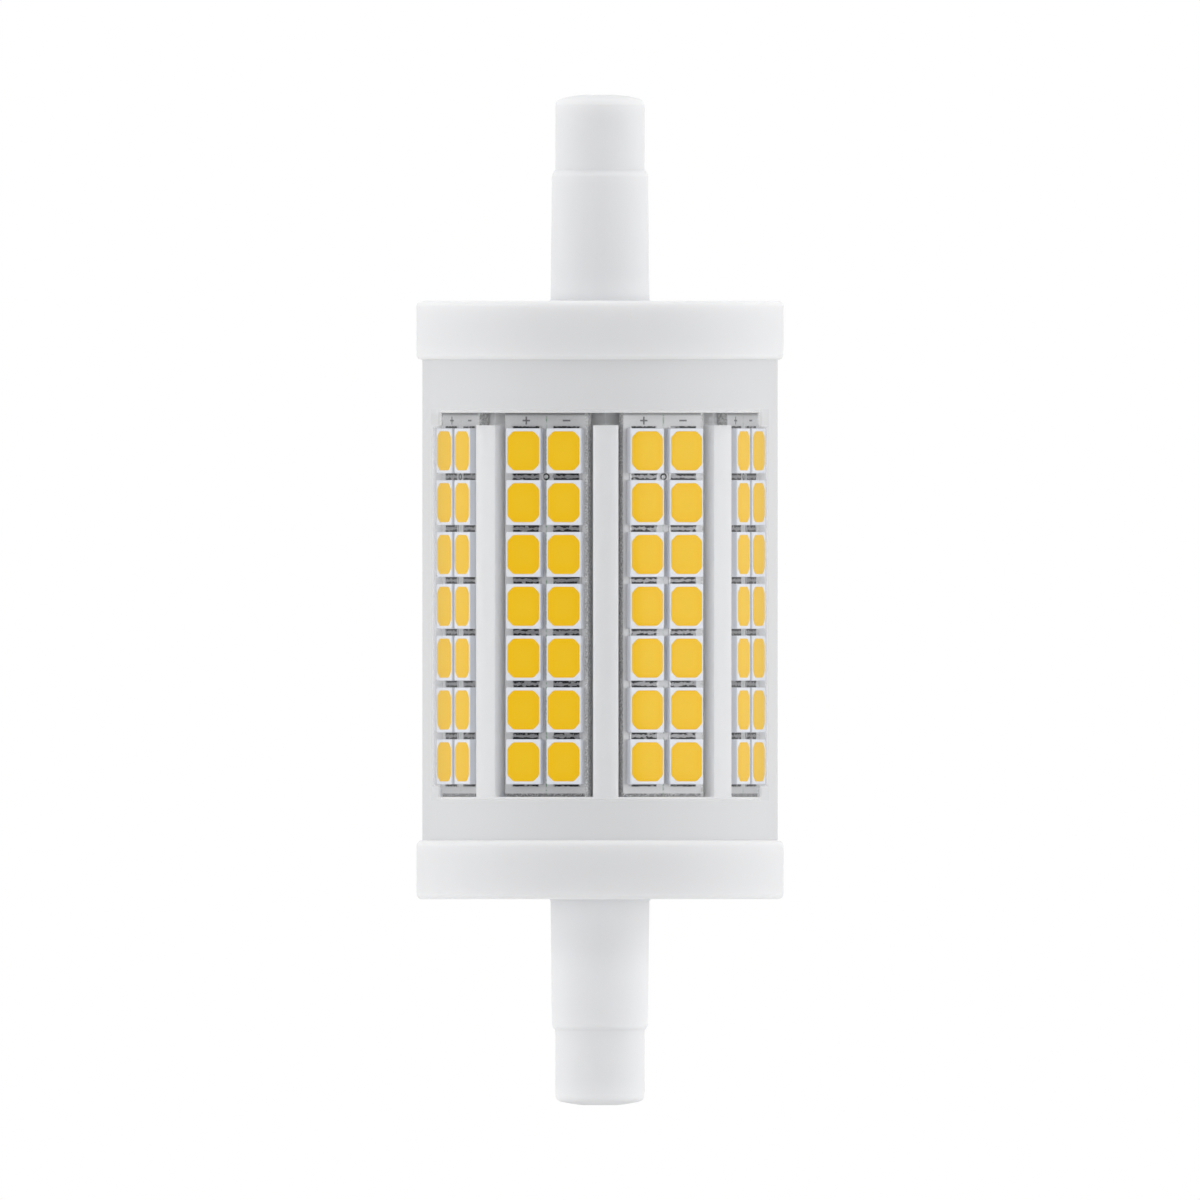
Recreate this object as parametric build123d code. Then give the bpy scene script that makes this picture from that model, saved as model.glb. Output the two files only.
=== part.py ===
from build123d import *
import math
import os

# All sizes are in millimetres. The lamp's axis is Z and the origin is half way along it.

# Holder ends
overall_length = 78.0
tip_diameter = 6.9
tip_length = 5.95
tip_edge_chamfer = 0.3
end_dome_radius = 13.7
shoulder_slope = 0.3
neck_diameter = 7.55
neck_wall = 1.5

# Sunk contact of each end: a many-sided plate behind a round recess
contact_recess_diameter = 2.2
contact_recess_depth = 1.55
contact_sides = 8
contact_thickness = 1.0
contact_clearance = 0.05

# End caps
cap_lip = 0.46
cap_height = 4.55
cap_roof = 1.6
cap_face_chamfer = 0.35
cap_seat_chamfer = 0.25
collar_length = 4.1

# Clear tube
tube_wall = 0.6
tube_clearance = 0.1

# LEDs: a white package with the phosphor in its mouth
led_width = 2.84
led_height = 3.48
led_thickness = 0.68
led_side_rim = 0.1
led_end_rim = 0.22
led_corner_cut = 0.47
phosphor_rise = 0.04
led_clearance = 0.222

# LED strips round the carrier
strip_count = 8
column_count = 2
column_pitch = 3.32
row_count = 7
row_pitch = 4.0
board_thickness = 0.8
board_side_margin = 0.33
board_bottom_margin = 0.96
board_top_margin = 1.185
board_clearance = 0.1
board_overrun = 0.6

# Carrier behind the strips
base_ring_height = 3.35
spigot_length = 2.0
core_wall = 1.9
core_rise = 1.7
rib_thickness = 1.93
rib_gap = 0.95

# Driver inside the carrier
link_board_thickness = 1.0
driver_board_thickness = 1.2
driver_slot_depth = 0.8
driver_clearance = 0.1
part_clearance = 0.1
part_gap = 1.0
lead_width = 1.2
lead_thickness = 0.4
lead_land = 4.0
lead_rise = 0.5
lead_drop = 1.0
smoothing_diameter = 6.3
smoothing_length = 11.0

# Width, depth and height of the boxed parts on the driver board
fuse_size = (8.4, 4.3, 4.0)
film_size = (8.0, 4.5, 6.5)
bridge_size = (4.7, 2.4, 3.9)
chip_size = (3.9, 1.5, 4.9)
choke_size = (6.6, 4.5, 6.6)

# Places round the axis: one rib faces the front, and the strips stand between the ribs
front_angle = -90.0
strip_angle = 360.0 / strip_count
half_angle = math.radians(strip_angle / 2)

# Distances from the axis, worked out from the LEDs to the cap rims
led_block_half = ((column_count - 1) * column_pitch + led_width) / 2
board_half = led_block_half + board_side_margin
rib_half = rib_thickness / 2
board_seat = (board_half + board_clearance + rib_half / math.cos(half_angle)) / math.tan(half_angle)
board_face = board_seat + board_thickness
led_face = board_face + led_thickness + phosphor_rise
tube_bore = math.hypot(led_face, led_block_half) + led_clearance
tube_radius = tube_bore + tube_wall
cap_radius = tube_radius + cap_lip
ring_radius = tube_bore - tube_clearance
rib_face = math.sqrt(ring_radius**2 - rib_half**2)
cavity_radius = math.hypot(board_face, board_half) + board_clearance
spigot_pocket = board_seat + tube_clearance
bay_flat = board_seat - core_wall
slot_reach = bay_flat / math.cos(half_angle) + driver_slot_depth

# Radii of the holder ends
tip_radius = tip_diameter / 2
neck_radius = neck_diameter / 2
recess_radius = contact_recess_diameter / 2
neck_bore_flat = neck_radius - neck_wall
contact_flat = neck_bore_flat - contact_clearance

# Heights along the axis, worked out from the rows of LEDs to the ends
row_span = (row_count - 1) * row_pitch + led_height
window_length = board_bottom_margin + row_span + board_top_margin
tube_length = base_ring_height + window_length + collar_length
seat_z = tube_length / 2
face_z = seat_z + cap_height
roof_z = face_z - cap_roof
end_z = overall_length / 2
shoulder_z = end_z - tip_length
contact_z = end_z - contact_recess_depth
contact_back_z = contact_z - contact_thickness
collar_z = seat_z - collar_length
ledge_z = base_ring_height - seat_z
first_row_z = ledge_z + board_bottom_margin + led_height / 2
rib_top_z = collar_z - rib_gap
core_top_z = collar_z + core_rise
board_top_z = core_top_z + link_board_thickness + board_overrun
driver_bottom_z = -seat_z
driver_top_z = core_top_z

# Boxes and cylinders that stand on their lower face
ON_FLOOR = (Align.CENTER, Align.CENTER, Align.MIN)


def turned(outline, edges=()):
    """Solid turned about the axis from a closed outline of radius and height, with its listed corners cut."""
    section = make_face(outline)
    for corner, size in edges:
        section = chamfer(section.vertices().sort_by_distance(corner)[0], size)
    return revolve(Plane.XZ * section, Axis.Z)


def many_sided(flat_radius, sides):
    """Regular outline across the axis, with a corner to the front, measured from the axis to its flats."""
    return RegularPolygon(flat_radius, sides, major_radius=False, rotation=front_angle)


def upright(outline, bottom_z, top_z):
    """Solid with one outline from one height to another."""
    return Pos(0, 0, bottom_z) * extrude(outline, top_z - bottom_z)


def dome_z(radius):
    """Height of the domed end face at a distance from the axis."""
    centre_z = end_z - math.sqrt(end_dome_radius**2 - recess_radius**2)
    return centre_z + math.sqrt(end_dome_radius**2 - radius**2)


def end_cap():
    """Moulded upper end without its hollow: holder tip, neck and cap in one piece."""
    recess_rim = (recess_radius, end_z)
    recess_floor = (recess_radius, contact_z)
    tip_corner = (tip_radius, dome_z(tip_radius))
    face_corner = (cap_radius, face_z)
    seat_corner = (cap_radius, seat_z)
    sides = Polyline(
        tip_corner,
        (tip_radius, shoulder_z + shoulder_slope / 2),
        (neck_radius, shoulder_z - shoulder_slope / 2),
        (neck_radius, face_z),
        face_corner,
        seat_corner,
        (0, seat_z),
        (0, contact_z),
        recess_floor,
        recess_rim,
    )
    edges = [
        (tip_corner, tip_edge_chamfer),
        (face_corner, cap_face_chamfer),
        (seat_corner, cap_seat_chamfer),
    ]
    body = turned(sides + RadiusArc(recess_rim, tip_corner, end_dome_radius), edges)
    return body - upright(many_sided(neck_bore_flat, contact_sides), seat_z, contact_z)


def upper_cap():
    """Upper end with a round hollow for the strips' ends and a collar that hangs inside the tube."""
    collar = upright(Circle(ring_radius), collar_z, seat_z)
    return end_cap() + collar - upright(Circle(cavity_radius), collar_z, roof_z)


def lower_cap():
    """Lower end with a many-sided hollow for the carrier's spigot."""
    return other_end(end_cap() - upright(many_sided(spigot_pocket, strip_count), seat_z, roof_z))


def contact():
    """Upper contact: a plate seated under the recess."""
    return upright(many_sided(contact_flat, contact_sides), contact_back_z, contact_z)


def other_end(solid):
    """The same piece at the lower end."""
    return Rot(180, 0, 0) * solid


def clear_tube():
    """Clear tube between the two cap rims."""
    return upright(Circle(tube_radius) - Circle(tube_bore), -seat_z, seat_z)


def led_carrier():
    """White moulding: many-sided tube with a spigot, a base ring and a rib between each two strips."""
    bay = many_sided(bay_flat, strip_count)
    spigot_z = -seat_z - spigot_length
    core = upright(many_sided(board_seat, strip_count), spigot_z, core_top_z)
    ring = upright(Circle(ring_radius), -seat_z, ledge_z)
    rib = Pos(board_seat, 0, ledge_z) * Box(
        rib_face - board_seat, rib_thickness, rib_top_z - ledge_z, align=(Align.MIN, Align.CENTER, Align.MIN)
    )
    ribs = [Rot(0, 0, front_angle + index * strip_angle) * rib for index in range(strip_count)]
    slot = Rectangle(2 * slot_reach, driver_board_thickness + 2 * driver_clearance)
    slots = upright(slot, driver_bottom_z, core_top_z)
    return core + ring + ribs - upright(bay, spigot_z, core_top_z) - slots


def strip_place(index):
    """Place of a strip's seat on the core: X across the strip, Y up and Z outwards."""
    angle = math.radians(front_angle + (index + 0.5) * strip_angle)
    outward = Vector(math.cos(angle), math.sin(angle), 0)
    across = Vector(-math.sin(angle), math.cos(angle), 0)
    return Plane(origin=outward * board_seat, x_dir=across, z_dir=outward).location


def led_board():
    """Board of one strip, standing on the base ring with its back on the seat."""
    return Pos(0, ledge_z, 0) * Box(
        2 * board_half, board_top_z - ledge_z, board_thickness, align=(Align.CENTER, Align.MIN, Align.MIN)
    )


def led_places():
    """Place of each LED on a strip, at the middle of its foot."""
    columns = [(column - (column_count - 1) / 2) * column_pitch for column in range(column_count)]
    rows = [first_row_z + row * row_pitch for row in range(row_count)]
    return [Pos(x, y, board_thickness) for y in rows for x in columns]


def led_package():
    """White package of one LED."""
    return Box(led_width, led_height, led_thickness, align=ON_FLOOR)


def led_phosphor():
    """Phosphor of one LED: an eight-sided filling that stands a little proud of the package's rim."""
    mouth = Rectangle(led_width - 2 * led_side_rim, led_height - 2 * led_end_rim)
    mouth = chamfer(mouth.vertices(), led_corner_cut)
    return Pos(0, 0, led_thickness) * extrude(mouth, phosphor_rise)


def led_group(led_solid, strip):
    """One solid for each LED of a strip."""
    return Compound(children=[strip * foot * led_solid for foot in led_places()])


def link_board():
    """Ring board on top of the core that joins the strips."""
    plate = many_sided(board_seat - driver_clearance, strip_count) - many_sided(bay_flat, strip_count)
    return upright(plate, core_top_z, core_top_z + link_board_thickness)


def driver_board():
    """Upright driver board, held in the carrier's two slots."""
    plate = Rectangle(2 * (slot_reach - driver_clearance), driver_board_thickness)
    return upright(plate, driver_bottom_z, driver_top_z)


def on_board(solid, middle_z, side):
    """A part put on the driver board: its local Z points away from the front (-1) or back (1) face."""
    face_y = side * driver_board_thickness / 2
    face = Plane(origin=(0, face_y, middle_z), x_dir=(-side, 0, 0), z_dir=(0, side, 0))
    return face.location * solid


def boxed_part(size, middle_z, side):
    """A part in a plain case, standing on one face of the driver board."""
    width, depth, height = size
    return on_board(Box(width, height, depth, align=ON_FLOOR), middle_z, side)


def smoothing_capacitor():
    """Round capacitor lying along the front of the driver board."""
    radius = smoothing_diameter / 2
    lying = Pos(0, 0, radius + part_clearance) * Rot(90, 0, 0) * Cylinder(radius, smoothing_length)
    return on_board(lying, smoothing_z, -1)


def lead(board_end_z, side):
    """Flat lead from a contact (upper 1, lower -1) to the front of the driver board."""
    front_y = -(driver_board_thickness + lead_thickness) / 2
    route = Polyline(
        (0, 0, side * contact_back_z),
        (0, 0, side * (roof_z + lead_drop)),
        (0, front_y, board_end_z + side * lead_rise),
        (0, front_y, board_end_z - side * lead_land),
    )
    return sweep((route ^ 0) * Rectangle(lead_width, lead_thickness), path=route, transition=Transition.RIGHT)


# Heights of the parts on the driver board, each set off from the one below it
first_part_z = driver_bottom_z + lead_land + part_gap
fuse_z = first_part_z + fuse_size[2] / 2
smoothing_z = fuse_z + fuse_size[2] / 2 + part_gap + smoothing_length / 2
film_z = smoothing_z + smoothing_length / 2 + part_gap + film_size[2] / 2
bridge_z = first_part_z + bridge_size[2] / 2
chip_z = bridge_z + bridge_size[2] / 2 + part_gap + chip_size[2] / 2
choke_z = chip_z + chip_size[2] / 2 + part_gap + choke_size[2] / 2

nodes = {
    "upper_cap": upper_cap(),
    "lower_cap": lower_cap(),
    "upper_contact": contact(),
    "lower_contact": other_end(contact()),
    "clear_tube": clear_tube(),
    "led_carrier": led_carrier(),
    "link_board": link_board(),
    "driver_board": driver_board(),
    "fuse": boxed_part(fuse_size, fuse_z, -1),
    "smoothing_capacitor": smoothing_capacitor(),
    "film_capacitor": boxed_part(film_size, film_z, -1),
    "bridge_rectifier": boxed_part(bridge_size, bridge_z, 1),
    "driver_chip": boxed_part(chip_size, chip_z, 1),
    "choke": boxed_part(choke_size, choke_z, 1),
    "upper_lead": lead(driver_top_z, 1),
    "lower_lead": lead(driver_bottom_z, -1),
}
for index in range(strip_count):
    strip = strip_place(index)
    nodes[f"led_board_{index + 1}"] = strip * led_board()
    nodes[f"led_packages_{index + 1}"] = led_group(led_package(), strip)
    nodes[f"led_phosphors_{index + 1}"] = led_group(led_phosphor(), strip)

os.makedirs("parts", exist_ok=True)
for name, solid in nodes.items():
    export_step(solid, f"parts/{name}.step")
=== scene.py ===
import math
import random

import bmesh
import bpy
from bpy.props import FloatProperty, FloatVectorProperty, IntProperty, PointerProperty
from mathutils import Matrix, Vector


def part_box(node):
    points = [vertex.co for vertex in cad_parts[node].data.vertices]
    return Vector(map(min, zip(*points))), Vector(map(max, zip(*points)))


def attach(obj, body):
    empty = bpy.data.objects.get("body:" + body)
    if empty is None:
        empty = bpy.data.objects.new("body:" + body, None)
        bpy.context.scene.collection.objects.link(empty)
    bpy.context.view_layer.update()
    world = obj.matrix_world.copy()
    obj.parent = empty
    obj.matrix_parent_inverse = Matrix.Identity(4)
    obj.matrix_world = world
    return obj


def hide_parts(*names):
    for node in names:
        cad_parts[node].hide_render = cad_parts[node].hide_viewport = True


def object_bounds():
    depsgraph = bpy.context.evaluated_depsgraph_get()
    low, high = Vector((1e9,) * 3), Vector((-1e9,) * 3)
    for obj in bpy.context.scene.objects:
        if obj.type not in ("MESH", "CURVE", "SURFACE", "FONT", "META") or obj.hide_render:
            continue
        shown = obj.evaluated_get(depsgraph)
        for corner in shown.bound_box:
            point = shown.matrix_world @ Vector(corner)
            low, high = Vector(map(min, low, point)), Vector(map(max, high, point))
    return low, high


bl_info = {
    "name": "Linear LED bulb",
    "version": (1, 0, 0),
    "blender": (4, 5, 0),
    "location": "3D View > Sidebar > LED bulb",
    "description": "Dresses a double-ended LED bulb with its mouldings, LED strips and clear tube",
    "category": "Object",
}

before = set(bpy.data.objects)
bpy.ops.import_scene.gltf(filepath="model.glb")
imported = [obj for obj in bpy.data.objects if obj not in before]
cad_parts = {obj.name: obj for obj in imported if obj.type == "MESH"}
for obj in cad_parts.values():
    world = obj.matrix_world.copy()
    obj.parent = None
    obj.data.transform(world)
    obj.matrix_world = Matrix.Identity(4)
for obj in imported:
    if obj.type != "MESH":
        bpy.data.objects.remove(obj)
CAD_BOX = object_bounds()

MM = 0.001
MERGE_DISTANCE = 0.0005 * MM
RIM_HEIGHT = 4.55 * MM
BODY = "root"


# Measures taken from the frame


def reach(node, direction):
    """Least and greatest distance of a node along a direction, from the origin."""
    along = [vertex.co.dot(direction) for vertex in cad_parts[node].data.vertices]
    return min(along), max(along)


def radii_at(node, height):
    """Least and greatest distance from the axis of a node's corners at one height."""
    slack = 0.01 * MM
    corners = [vertex.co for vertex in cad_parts[node].data.vertices]
    rings = [corner.xy.length for corner in corners if abs(corner.z - height) < slack]
    return min(rings), max(rings)


FRONT_ANGLE = -math.pi / 2
STRIP_COUNT = sum(name.startswith("led_board_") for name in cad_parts)
STRIP_ANGLE = 2 * math.pi / STRIP_COUNT


def strip_matrix(index):
    """Takes a strip's own axes (X across, Y up, Z outwards) to its place round the lamp."""
    angle = FRONT_ANGLE + (index + 0.5) * STRIP_ANGLE
    across = Vector((-math.sin(angle), math.cos(angle), 0))
    outward = Vector((math.cos(angle), math.sin(angle), 0))
    return Matrix((across, Vector((0, 0, 1)), outward)).transposed().to_4x4()


ACROSS, UP, OUTWARD = (strip_matrix(0).col[axis].xyz for axis in range(3))

END_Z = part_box("upper_cap")[1].z
CAP_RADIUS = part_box("upper_cap")[1].x
COLLAR_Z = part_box("upper_cap")[0].z
COLLAR_BORE, COLLAR_RADIUS = radii_at("upper_cap", COLLAR_Z)
RECESS_RADIUS = radii_at("upper_cap", END_Z)[0]
CONTACT_BACK_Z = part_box("upper_contact")[0].z
CONTACT_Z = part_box("upper_contact")[1].z
CONTACT_RADIUS = radii_at("upper_contact", CONTACT_Z)[1]
SEAT_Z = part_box("clear_tube")[1].z
TUBE_BORE, TUBE_RADIUS = radii_at("clear_tube", SEAT_Z)
NECK_ROOT_Z = SEAT_Z + RIM_HEIGHT

BOARD_BACK, BOARD_FACE = reach("led_board_1", OUTWARD)
BOARD_BOTTOM, BOARD_TOP = reach("led_board_1", UP)
BOARD_HALF = reach("led_board_1", ACROSS)[1]
LED_RIM = reach("led_packages_1", OUTWARD)[1]
LED_CROWN = reach("led_phosphors_1", OUTWARD)[1]
LED_BLOCK_HALF = reach("led_packages_1", ACROSS)[1]
LED_BLOCK_BOTTOM, LED_BLOCK_TOP = reach("led_packages_1", UP)
CARRIER_CORNERS = [vertex.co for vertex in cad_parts["led_carrier"].data.vertices]
RIB_TOP = max(corner.z for corner in CARRIER_CORNERS if corner.xy.length > LED_RIM)


# Sizes and colours that a user may change


def length(label, description, default):
    """A size in metres, shown in the scene's own unit."""
    return FloatProperty(
        name=label, description=description, default=default, min=0, unit="LENGTH", precision=5
    )


def angle(label, description, default):
    """An angle given in degrees."""
    return FloatProperty(
        name=label, description=description, default=math.radians(default), subtype="ANGLE"
    )


def light(label, description, default):
    """How strong a light is."""
    return FloatProperty(name=label, description=description, default=default, min=0)


def colour(label, description, default):
    """A linear colour."""
    return FloatVectorProperty(
        name=label, description=description, default=default, size=3, min=0, max=1, subtype="COLOR"
    )


class CapSizes(bpy.types.PropertyGroup):
    tip_diameter: length("Tip diameter", "Across the end that goes into the holder", 6.9 * MM)
    tip_length: length("Tip length", "From the end to the neck's shoulder", 5.95 * MM)
    dome_radius: length("Dome radius", "Radius of the domed end", 13.7 * MM)
    neck_top_diameter: length("Neck at shoulder", "Across the neck at its shoulder", 7.42 * MM)
    neck_root_diameter: length("Neck at root", "Across the neck where it meets the cap", 7.64 * MM)
    rim_height: length("Rim height", "Height of the cap's rim", RIM_HEIGHT)
    roof_thickness: length("Roof thickness", "Wall between the cap's face and its hollow", 1.6 * MM)
    pocket_flat: length("Pocket", "From the axis to the flats of the lower cap's pocket", 11.0956 * MM)
    tip_rounding: length("Tip rounding", "Rounding of the tip's edge", 0.42 * MM)
    shoulder_slope: length("Shoulder slope", "Height of the slope from the tip to the neck", 0.24 * MM)
    shoulder_fillet: length("Shoulder fillet", "Fillet where the tip meets the slope", 0.09 * MM)
    shoulder_rounding: length("Shoulder rounding", "Rounding where the slope meets the neck", 0.25 * MM)
    root_fillet: length("Root fillet", "Fillet between neck and cap", 0.16 * MM)
    rim_rounding: length("Rim rounding", "Rounding of the rim's two edges", 0.42 * MM)
    recess_rounding: length("Recess rounding", "Rounding of the recess for the contact", 0.15 * MM)
    collar_rounding: length("Collar rounding", "Rounding of the collar's lower edge", 0.14 * MM)
    contact_dish: length("Contact dish", "Depth of the dish round the contact's raised middle", 0.25 * MM)
    contact_crown: length("Contact crown", "Height of the crown on the raised middle", 0.05 * MM)
    turns: IntProperty(name="Turned steps", description="Faces round a turned piece", default=160, min=32)


class StripSizes(bpy.types.PropertyGroup):
    carrier_rounding: length("Carrier rounding", "Softening of the carrier's edges", 0.32 * MM)
    board_rounding: length("Board rounding", "Rounding of a board's upper edges", 0.03 * MM)
    led_width: length("LED width", "Across one LED package", 2.84 * MM)
    led_height: length("LED height", "Height of one LED package", 3.48 * MM)
    rows: IntProperty(name="Rows", description="LEDs in one column", default=7, min=2)
    mouth_width: length("Mouth width", "Across the opening of an LED package", 2.64 * MM)
    mouth_height: length("Mouth height", "Height of the opening of an LED package", 3.04 * MM)
    mouth_cut: length("Mouth corner", "Cut of the mouth's corners", 0.47 * MM)
    mouth_rounding: length("Mouth rounding", "Rounding of the cut corners", 0.1 * MM)
    mouth_depth: length("Mouth depth", "Depth of the package's cup", 0.2 * MM)
    package_rounding: length("Package rounding", "Rounding of the package's edges", 0.06 * MM)
    fill_gap: length("Fill gap", "Gap between the filling and the package", 0.01 * MM)
    fill_drop: length("Fill drop", "How far the filling's edge lies under the rim", 0.015 * MM)
    pad_width: length("Pad width", "Width of a solder pad between two LEDs", 2.4 * MM)
    end_pad: length("End pad", "How far the pads at a column's ends stand out from their LEDs", 0.17 * MM)
    pad_thickness: length("Pad thickness", "Thickness of the solder", 0.05 * MM)
    via_radius: length("Via radius", "Outer radius of the plated hole", 0.27 * MM)
    via_rim: length("Via rim", "Width of the plated hole's rim", 0.108 * MM)
    mark_length: length("Mark length", "Length of the plus and minus marks", 0.62 * MM)
    mark_width: length("Mark width", "Width of the marks' strokes", 0.13 * MM)
    ink_thickness: length("Ink thickness", "Thickness of the marks", 0.012 * MM)


class Finishes(bpy.types.PropertyGroup):
    plastic: colour("White plastic", "Caps and carrier", (0.722, 0.727, 0.738))
    haze: colour("Clear wall", "Clear tube where it is seen edge on", (0.667, 0.672, 0.681))
    package: colour("LED package", "White of the LED packages", (0.735, 0.755, 0.81))
    phosphor_rim: colour("Phosphor", "LED filling near its edge", (0.782, 0.45, 0.001))
    phosphor_middle: colour("Phosphor over the chip", "LED filling at its middle", (0.772, 0.482, 0.012))
    mask: colour("Solder mask", "White face of the strips", (0.535, 0.54, 0.55))
    cut_metal: colour("Cut metal", "Sawn edges of the strips", (0.62, 0.625, 0.63))
    solder: colour("Solder", "Flat middle of a solder pad", (0.27, 0.272, 0.28))
    # Painted shade and reflection of the steep solder fillets along the LEDs
    solder_fillet_shade: colour("Solder edge", "Steep edges of a solder pad", (0.02, 0.021, 0.023))
    ink: colour("Ink", "Marks on the strips", (0.13, 0.13, 0.14))
    contact: colour("Contact", "Plated contact", (0.72, 0.70, 0.66))


class StageSizes(bpy.types.PropertyGroup):
    view_azimuth: angle("View", "Turn of the camera round the lamp", -2.0)
    frame_width: length("Frame", "Width of the picture at the lamp", 92.6 * MM)
    camera_distance: length("Camera distance", "From the lamp's axis to the camera", 400 * MM)
    floor_gap: length("Floor gap", "From the lower end, which a holder carries, down to the floor", 12 * MM)
    floor_radius: length("Floor radius", "Radius of the round floor", 3.0)
    room_light: light("Room light", "Even light from all round", 0.70)
    lamp_distance: length("Lamp distance", "From the axis to the side lamps and the card", 0.6)
    side_angle: angle("Side angle", "From the front to each side lamp", 75)
    side_height: length("Side height", "Height of the side lamps over the middle", 0.08)
    side_width: length("Side width", "Width and height of a side lamp", 0.4)
    left_light: light("Left lamp", "Power of the left lamp in watts", 1.38)
    right_light: light("Right lamp", "Power of the right lamp in watts", 1.48)
    top_height: length("Top height", "Height of the top lamp over the middle", 0.7)
    top_forward: length("Top forward", "How far the top lamp is in front of the axis", 0.1)
    top_width: length("Top width", "Width and depth of the top lamp", 0.5)
    top_light: light("Top lamp", "Power of the top lamp in watts", 1.15)
    card_angle: angle("Card angle", "From the front to the mirrored card", 46)
    card_width: length("Card width", "Width of the mirrored card", 0.5)
    card_height: length("Card height", "Height of the mirrored card", 0.14)
    card_light: light("Card", "Power of the mirrored card in watts", 1.3)


# Shader nodes


class Socket:
    """An output of a shader node. Python's operators on it add Math nodes."""

    def __init__(self, nodes, output):
        self.nodes = nodes
        self.output = output

    def math(self, operation, first, second=0.0):
        return self.nodes.make("ShaderNodeMath", {"operation": operation}, {0: first, 1: second})

    def __add__(self, other):
        return self.math("ADD", self, other)

    def __radd__(self, other):
        return self.math("ADD", other, self)

    def __sub__(self, other):
        return self.math("SUBTRACT", self, other)

    def __rsub__(self, other):
        return self.math("SUBTRACT", other, self)

    def __mul__(self, other):
        return self.math("MULTIPLY", self, other)

    def __rmul__(self, other):
        return self.math("MULTIPLY", other, self)

    def __abs__(self):
        return self.math("ABSOLUTE", self)

    def larger(self, other):
        return self.math("MAXIMUM", self, other)

    def step(self, low, high):
        """Rises smoothly from 0 at low to 1 at high."""
        settings = {"interpolation_type": "SMOOTHSTEP"}
        return self.nodes.make("ShaderNodeMapRange", settings, {0: self, 1: low, 2: high})


class Nodes:
    """The node tree of a material or the world while it is being made."""

    def __init__(self, owner):
        owner.use_nodes = True
        self.tree = owner.node_tree
        self.tree.nodes.clear()

    def make(self, kind, settings=None, sockets=None, output=0):
        """Adds a node, sets it, feeds its sockets with values or links, and gives one of its outputs."""
        node = self.tree.nodes.new(kind)
        for name, value in (settings or {}).items():
            setattr(node, name, value)
        for key, value in (sockets or {}).items():
            if isinstance(value, Socket):
                self.tree.links.new(value.output, node.inputs[key])
            else:
                node.inputs[key].default_value = value
        return Socket(self, node.outputs[output])

    def millimetres(self, stretch=(1, 1, 1)):
        """Object coordinates in millimetres, squeezed along an axis where stretch is under 1."""
        place = self.make("ShaderNodeTexCoord", output="Object")
        scale = [share / MM for share in stretch]
        return self.make("ShaderNodeMapping", None, {"Vector": place, "Scale": scale})

    def along(self, axis, place):
        """One coordinate of a place."""
        return self.make("ShaderNodeSeparateXYZ", None, {0: place}, output=axis)

    def height(self):
        """Height over the lamp's middle in millimetres."""
        return self.along("Z", self.millimetres())

    def flat(self, uv_map):
        """The two coordinates of a UV map."""
        place = self.make("ShaderNodeUVMap", {"uv_map": uv_map})
        return self.along("X", place), self.along("Y", place)

    def noise(self, scale, detail=2.0, roughness=0.5, stretch=(1, 1, 1)):
        place = self.millimetres(stretch)
        sockets = {"Vector": place, "Scale": scale, "Detail": detail, "Roughness": roughness}
        return self.make("ShaderNodeTexNoise", None, sockets)

    def mix(self, share, first, second):
        """Colour between two colours, each a triple or a socket."""
        first, second = (value if isinstance(value, Socket) else (*value, 1) for value in (first, second))
        return self.make("ShaderNodeMix", {"data_type": "RGBA"}, {0: share, 6: first, 7: second}, output=2)

    def shades(self, share, base, dark, pale):
        """Colour between a darker and a lighter shade of one colour."""
        return self.mix(share, tinted(base, dark), tinted(base, pale))

    def bump(self, height, depth):
        """Normal of a relief whose full height is depth, in metres."""
        return self.make("ShaderNodeBump", None, {"Height": height, "Distance": depth, "Strength": 1})

    def principled(self, **sockets):
        """Main shader, with its sockets named in small letters."""
        titles = {name: name.replace("_", " ").title().replace("Ior", "IOR") for name in sockets}
        named = {titles[name]: value for name, value in sockets.items()}
        return self.make("ShaderNodeBsdfPrincipled", None, named)

    def shader_mix(self, share, first, second):
        return self.make("ShaderNodeMixShader", None, {0: share, 1: first, 2: second})

    def surface(self, shader, kind="ShaderNodeOutputMaterial"):
        output = self.tree.nodes.new(kind)
        self.tree.links.new(shader.output, output.inputs["Surface"])


def tinted(base, share):
    """A colour made darker or lighter by a share."""
    return tuple(min(1.0, channel * share) for channel in base)


def material(paint, name=None):
    """A material by its painter's name or one of its own, painted when it is first asked for."""
    name = name or paint.__name__
    found = bpy.data.materials.get(name)
    if found is None:
        found = bpy.data.materials.new(name)
        paint(Nodes(found), bpy.context.scene.bulb_finishes)
    return found


# Finishes


def moulded(nodes, base, grain, depth=1.8 * MM):
    """Satin, slightly translucent moulding with a fine spark-eroded grain."""
    shader = nodes.principled(
        base_color=base,
        roughness=0.46 + 0.12 * grain,
        specular_ior_level=0.03,
        subsurface_weight=0.8,
        subsurface_radius=(1.0, 0.95, 0.9),
        subsurface_scale=depth,
        normal=nodes.bump(grain, 0.004 * MM),
    )
    nodes.surface(shader)


def cloudy(nodes, base):
    """A colour with faint clouds in it."""
    clouds = nodes.noise(0.15, 3)
    return nodes.shades(clouds, base, 0.98, 1.02)


def white_plastic(nodes, finishes):
    """White of the end caps, with painted light on the necks: strongest at their roots, which the caps
    shade, and most of all on the lower neck, which gets less light from below.
    """
    height = nodes.height()
    root = NECK_ROOT_Z / MM
    # Painted light: the necks' white is lightened in place of the light that the caps' shade takes from them
    upper_neck_light = height.step(root - 0.2, root + 0.1) * (0.45 - 0.35 * height.step(root, root + 2.5))
    lower_neck_light = (0 - height).step(root - 0.2, root + 0.1) * (1 - 0.6 * (0 - height).step(root, root + 4))
    lighter = cloudy(nodes, tinted(finishes.plastic, 1.2))
    base = nodes.mix(upper_neck_light.larger(lower_neck_light), cloudy(nodes, finishes.plastic), lighter)
    moulded(nodes, base, nodes.noise(7, 3))


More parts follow.
